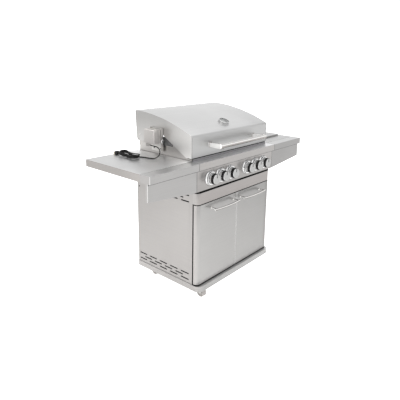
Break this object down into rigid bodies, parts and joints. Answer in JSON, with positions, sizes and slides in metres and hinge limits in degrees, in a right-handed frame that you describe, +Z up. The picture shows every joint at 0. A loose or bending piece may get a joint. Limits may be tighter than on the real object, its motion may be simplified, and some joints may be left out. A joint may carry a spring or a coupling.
{
  "type": "gas barbecue grill",
  "caption": "Stainless gas grill on a two-door wheeled cabinet, with lid, side shelves, side burner, rotisserie motor with coiled cord, and burner knobs.",
  "frame": {"origin": "on the floor under the middle of the grill's bounding box", "axes": "+X to the cook's right when facing the grill, +Y from the doors to the back, +Z up"},
  "size_m": [1.57, 0.6065, 1.1597],
  "materials": {
    "brushed_steel": "brushed stainless sheet",
    "polished_steel": "polished stainless bar",
    "chrome": "bright chrome",
    "galvanised": "matt galvanised sheet",
    "cast_iron": "enamelled cast iron",
    "burner_steel": "plain stainless tube",
    "ceramic": "burner tile in a steel frame",
    "zinc": "die-cast zinc and steel pipe",
    "knob": "satin cap on a black skirt",
    "motor_steel": "satin stainless case",
    "black_plastic": "black plastic",
    "cord_rubber": "black flexible cord",
    "tyre": "hard rubber tread on a black centre",
    "zinc_plate": "bright zinc plate",
    "dial": "printed white dial",
    "needle": "red needle",
    "glass": "clear lens"
  },
  "bodies": {
    "cart": {"base_tray": "brushed_steel", "left_side_panel": "brushed_steel", "right_side_panel": "brushed_steel", "back_panel": "galvanised", "front_rail": "brushed_steel", "control_console": "brushed_steel", "firebox": "brushed_steel", "gas_manifold": "zinc", "knob_bezels": "chrome", "left_shelf": "brushed_steel", "left_fascia": "brushed_steel", "right_shelf": "brushed_steel", "right_fascia": "brushed_steel", "side_burner_head": "zinc", "side_burner_grate": "cast_iron", "main_burners": "burner_steel", "flame_tamers": "burner_steel", "cooking_grates": "cast_iron", "warming_rack": "chrome", "rear_burner": "ceramic", "motor_bracket": "brushed_steel", "motor_housing": "motor_steel", "cord_gland": "black_plastic", "power_cord": "cord_rubber", "cord_hank": "cord_rubber", "power_plug": "black_plastic", "hinge_pins": "polished_steel", "panel_screws": "polished_steel"},
    "lid": {"lid_skin": "brushed_steel", "lid_left_end": "brushed_steel", "lid_right_end": "brushed_steel", "lid_handle": "polished_steel", "gauge_case": "chrome", "gauge_dial": "dial", "gauge_lens": "glass", "lid_screws": "polished_steel"},
    "gauge_needle": {"gauge_needle": "needle"},
    "left_door": {"left_door": "brushed_steel", "left_door_handle": "polished_steel"},
    "right_door": {"right_door": "brushed_steel", "right_door_handle": "polished_steel"},
    "grease_tray": {"grease_tray": "galvanised"},
    "side_burner_cover": {"side_burner_cover": "brushed_steel"},
    "spit": {"spit_rod": "polished_steel", "spit_forks": "polished_steel"},
    "motor_switch": {"motor_switch": "black_plastic"},
    "knob_1": {"knob_1": "knob"},
    "knob_2": {"knob_2": "knob"},
    "knob_3": {"knob_3": "knob"},
    "knob_4": {"knob_4": "knob"},
    "knob_5": {"knob_5": "knob"},
    "knob_6": {"knob_6": "knob"},
    "caster_fork_1": {"caster_fork_1": "zinc_plate"},
    "caster_wheel_1": {"caster_wheel_1": "tyre"},
    "caster_fork_2": {"caster_fork_2": "zinc_plate"},
    "caster_wheel_2": {"caster_wheel_2": "tyre"},
    "caster_fork_3": {"caster_fork_3": "zinc_plate"},
    "caster_wheel_3": {"caster_wheel_3": "tyre"},
    "caster_fork_4": {"caster_fork_4": "zinc_plate"},
    "caster_wheel_4": {"caster_wheel_4": "tyre"}
  },
  "joints": [
    {"name": "lid_hinge", "type": "hinge", "parent": "cart", "child": "lid", "pos_m": [0, 0.27925, 0.975], "axis": [-1, 0, 0], "range_deg": [0, 88]},
    {"name": "gauge_needle_turn", "type": "hinge", "parent": "lid", "child": "gauge_needle", "pos_m": [0, -0.11475, 1.08238], "axis": [0, 0.34, -0.9404], "range_deg": [0, 270]},
    {"name": "left_door_hinge", "type": "hinge", "parent": "cart", "child": "left_door", "pos_m": [-0.377, -0.22475, 0.37], "axis": [0, 0, -1], "range_deg": [0, 105]},
    {"name": "right_door_hinge", "type": "hinge", "parent": "cart", "child": "right_door", "pos_m": [0.377, -0.22475, 0.37], "axis": [0, 0, 1], "range_deg": [0, 105]},
    {"name": "grease_tray_slide", "type": "slide", "parent": "cart", "child": "grease_tray", "axis": [0, 1, 0], "range_m": [0, 0.38]},
    {"name": "side_burner_cover_hinge", "type": "hinge", "parent": "cart", "child": "side_burner_cover", "pos_m": [0.6, 0.23525, 0.908], "axis": [-1, 0, 0], "range_deg": [0, 97]},
    {"name": "spit_turn", "type": "hinge", "parent": "cart", "child": "spit", "pos_m": [0, 0.08525, 0.993], "axis": [1, 0, 0], "continuous": true},
    {"name": "motor_switch_rock", "type": "hinge", "parent": "cart", "child": "motor_switch", "pos_m": [-0.4425, 0.13275, 1.033], "axis": [1, 0, 0], "range_deg": [-8, 8]},
    {"name": "knob_1_turn", "type": "hinge", "parent": "cart", "child": "knob_1", "pos_m": [-0.283, -0.24875, 0.789], "axis": [0, 1, 0], "range_deg": [-130, 0]},
    {"name": "knob_2_turn", "type": "hinge", "parent": "cart", "child": "knob_2", "pos_m": [-0.187, -0.24875, 0.789], "axis": [0, 1, 0], "range_deg": [-130, 0]},
    {"name": "knob_3_turn", "type": "hinge", "parent": "cart", "child": "knob_3", "pos_m": [-0.091, -0.24875, 0.789], "axis": [0, 1, 0], "range_deg": [-130, 0]},
    {"name": "knob_4_turn", "type": "hinge", "parent": "cart", "child": "knob_4", "pos_m": [0.091, -0.24875, 0.789], "axis": [0, 1, 0], "range_deg": [-130, 0]},
    {"name": "knob_5_turn", "type": "hinge", "parent": "cart", "child": "knob_5", "pos_m": [0.187, -0.24875, 0.789], "axis": [0, 1, 0], "range_deg": [-130, 0]},
    {"name": "knob_6_turn", "type": "hinge", "parent": "cart", "child": "knob_6", "pos_m": [0.283, -0.24875, 0.789], "axis": [0, 1, 0], "range_deg": [-130, 0]},
    {"name": "caster_1_swivel", "type": "hinge", "parent": "cart", "child": "caster_fork_1", "pos_m": [-0.315, -0.19375, 0.09], "axis": [0, 0, 1], "continuous": true},
    {"name": "caster_1_roll", "type": "hinge", "parent": "caster_fork_1", "child": "caster_wheel_1", "pos_m": [-0.315, -0.21775, 0.031], "axis": [1, 0, 0], "continuous": true},
    {"name": "caster_2_swivel", "type": "hinge", "parent": "cart", "child": "caster_fork_2", "pos_m": [0.315, -0.19375, 0.09], "axis": [0, 0, 1], "continuous": true},
    {"name": "caster_2_roll", "type": "hinge", "parent": "caster_fork_2", "child": "caster_wheel_2", "pos_m": [0.315, -0.16975, 0.031], "axis": [1, 0, 0], "continuous": true},
    {"name": "caster_3_swivel", "type": "hinge", "parent": "cart", "child": "caster_fork_3", "pos_m": [-0.315, 0.23525, 0.09], "axis": [0, 0, 1], "continuous": true},
    {"name": "caster_3_roll", "type": "hinge", "parent": "caster_fork_3", "child": "caster_wheel_3", "pos_m": [-0.315, 0.21125, 0.031], "axis": [1, 0, 0], "continuous": true},
    {"name": "caster_4_swivel", "type": "hinge", "parent": "cart", "child": "caster_fork_4", "pos_m": [0.315, 0.23525, 0.09], "axis": [0, 0, 1], "continuous": true},
    {"name": "caster_4_roll", "type": "hinge", "parent": "caster_fork_4", "child": "caster_wheel_4", "pos_m": [0.315, 0.25925, 0.031], "axis": [1, 0, 0], "continuous": true}
  ]
}
